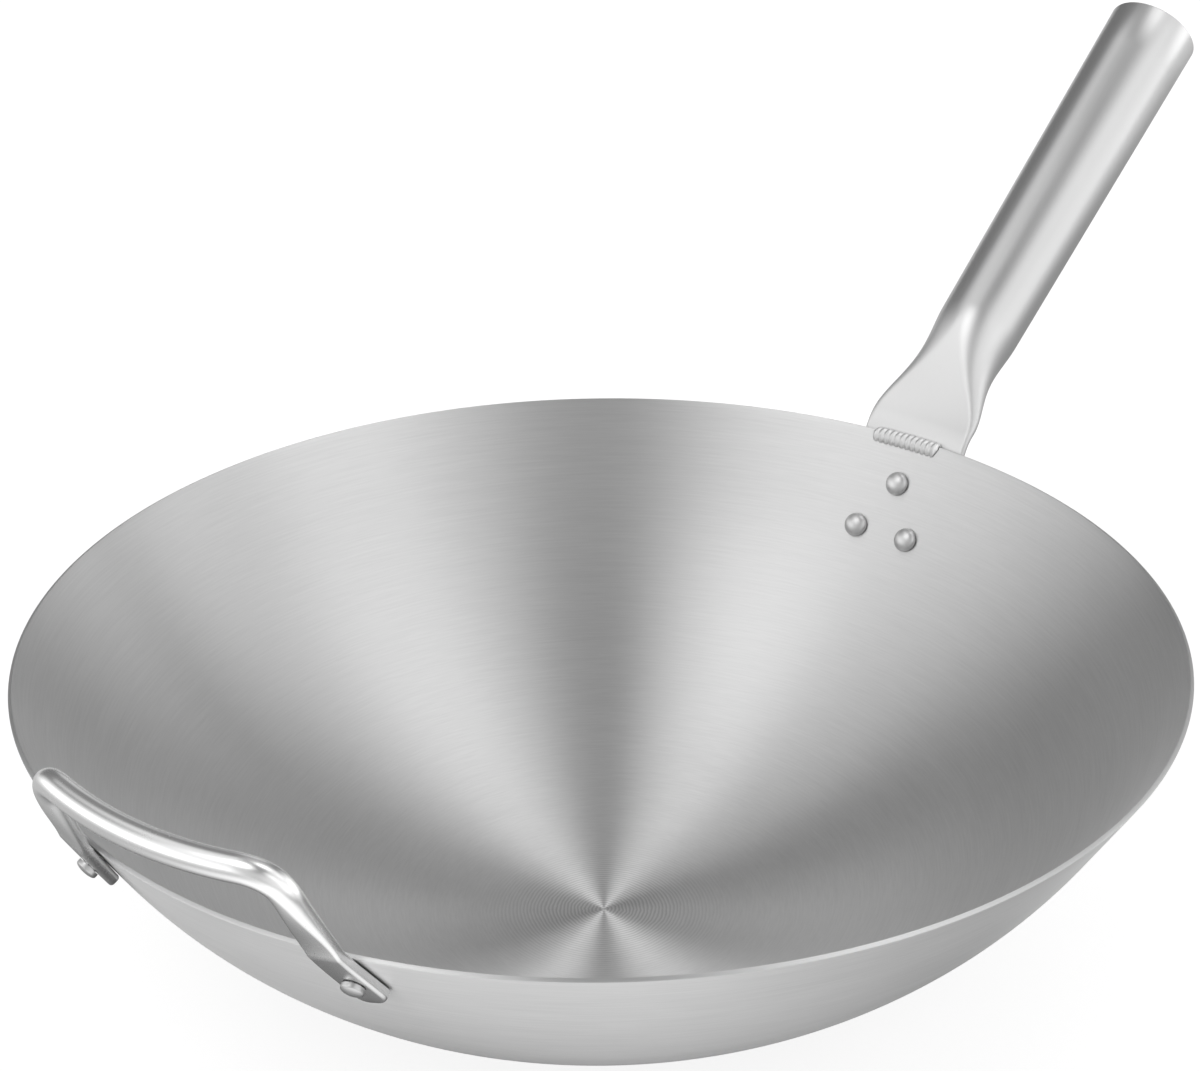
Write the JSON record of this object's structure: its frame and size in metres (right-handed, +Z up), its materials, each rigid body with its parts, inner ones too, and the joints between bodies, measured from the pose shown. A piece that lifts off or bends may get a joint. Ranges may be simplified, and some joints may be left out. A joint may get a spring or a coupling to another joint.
{
  "type": "wok",
  "caption": "Round-bottomed stainless steel wok with a small flat base, a hollow tube handle riveted and welded at the rim, and a bent rod loop handle opposite.",
  "frame": {"origin": "middle of the flat base's underside, where the wok stands", "axes": "+Z up along the bowl's axis; +X from the bowl's axis towards the tube handle, with the loop handle on -X; +Y to the left of the tube handle seen from inside the bowl"},
  "size_m": [0.5476, 0.36, 0.2175],
  "materials": {
    "bowl_steel": "circular brushed satin",
    "handle_steel": "smooth satin",
    "weld_steel": "rippled weld, lightly brushed",
    "rod_steel": "polished",
    "rivet_steel": "satin"
  },
  "bodies": {
    "root": {"wok_bowl": "bowl_steel", "handle_tube": "handle_steel", "rim_weld_bead": "weld_steel", "handle_rivet_upper": "rivet_steel", "handle_rivet_lower_left": "rivet_steel", "handle_rivet_lower_right": "rivet_steel", "loop_handle": "rod_steel", "loop_rivet_left": "rivet_steel", "loop_rivet_right": "rivet_steel"}
  },
  "joints": []
}
